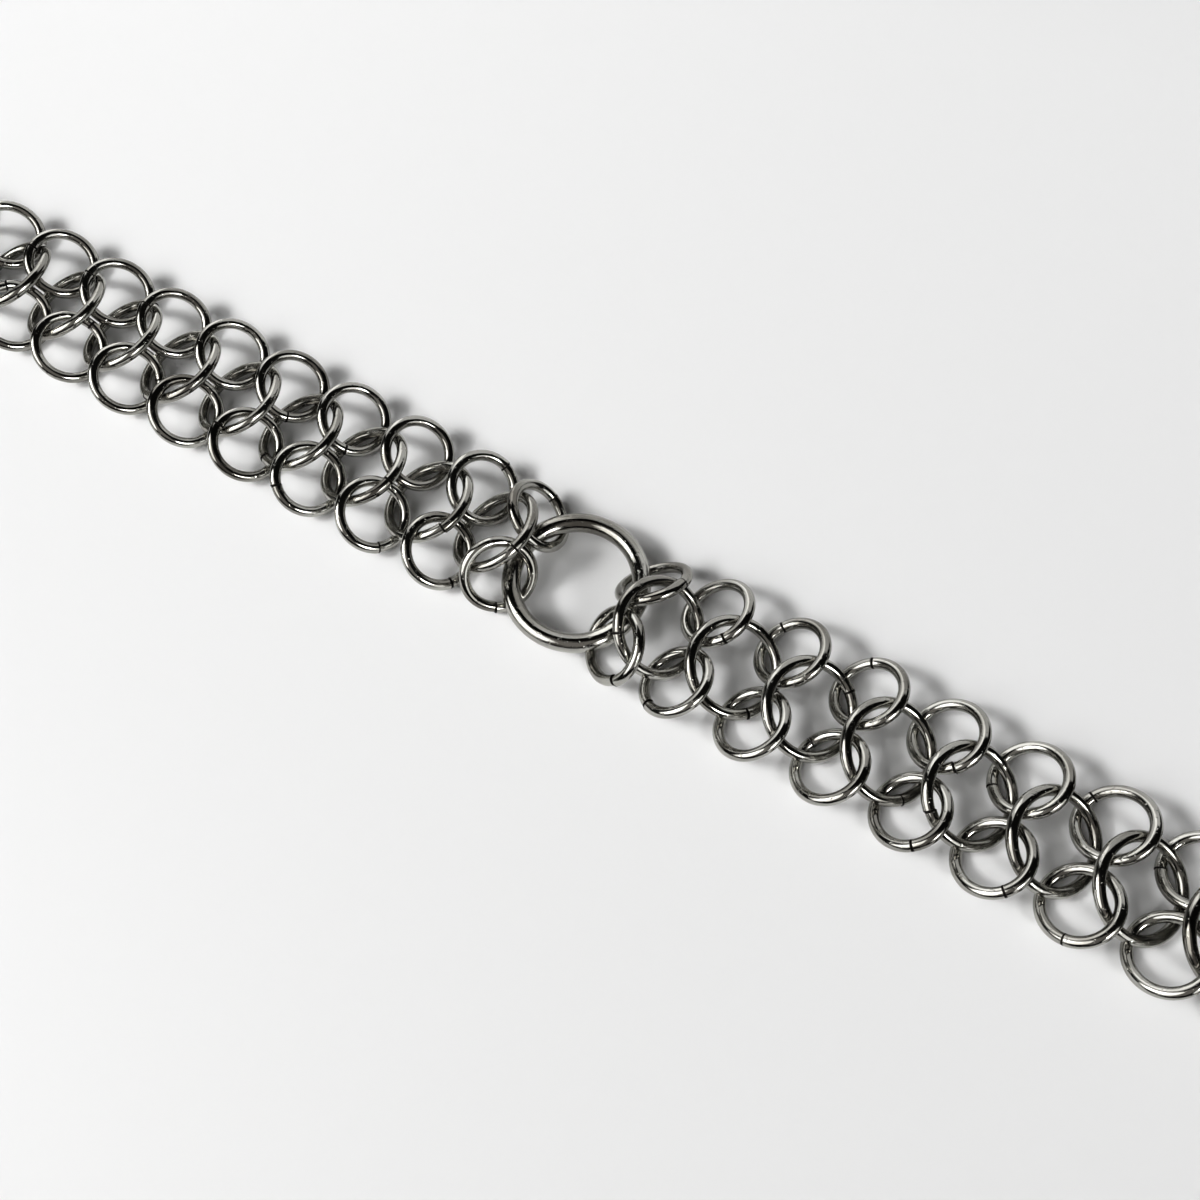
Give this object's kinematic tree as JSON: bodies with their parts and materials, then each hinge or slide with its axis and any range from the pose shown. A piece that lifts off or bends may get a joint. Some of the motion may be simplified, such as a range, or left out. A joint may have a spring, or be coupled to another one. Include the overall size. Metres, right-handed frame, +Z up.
{
  "type": "chainmail choker",
  "caption": "Flat band of linked round steel wire rings, with a larger ring at the front and a plain hook at the back, closed into a loop.",
  "frame": {"origin": "on the table plane, under the centre of the big front ring", "axes": "+X along the straight front stretch of the band, +Y across it away from the loop, +Z up from the table"},
  "size_m": [0.1888, 0.0955, 0.0059],
  "materials": {
    "mail_wire": "polished stainless steel wire",
    "big_wire": "polished stainless steel wire",
    "clasp_wire": "polished stainless steel wire"
  },
  "bodies": {
    "root": {"big_ring": "big_wire", "mail_right": "mail_wire", "mail_left": "mail_wire", "end_ring_right": "mail_wire", "end_ring_left": "mail_wire", "hook_clasp": "clasp_wire"}
  },
  "joints": []
}
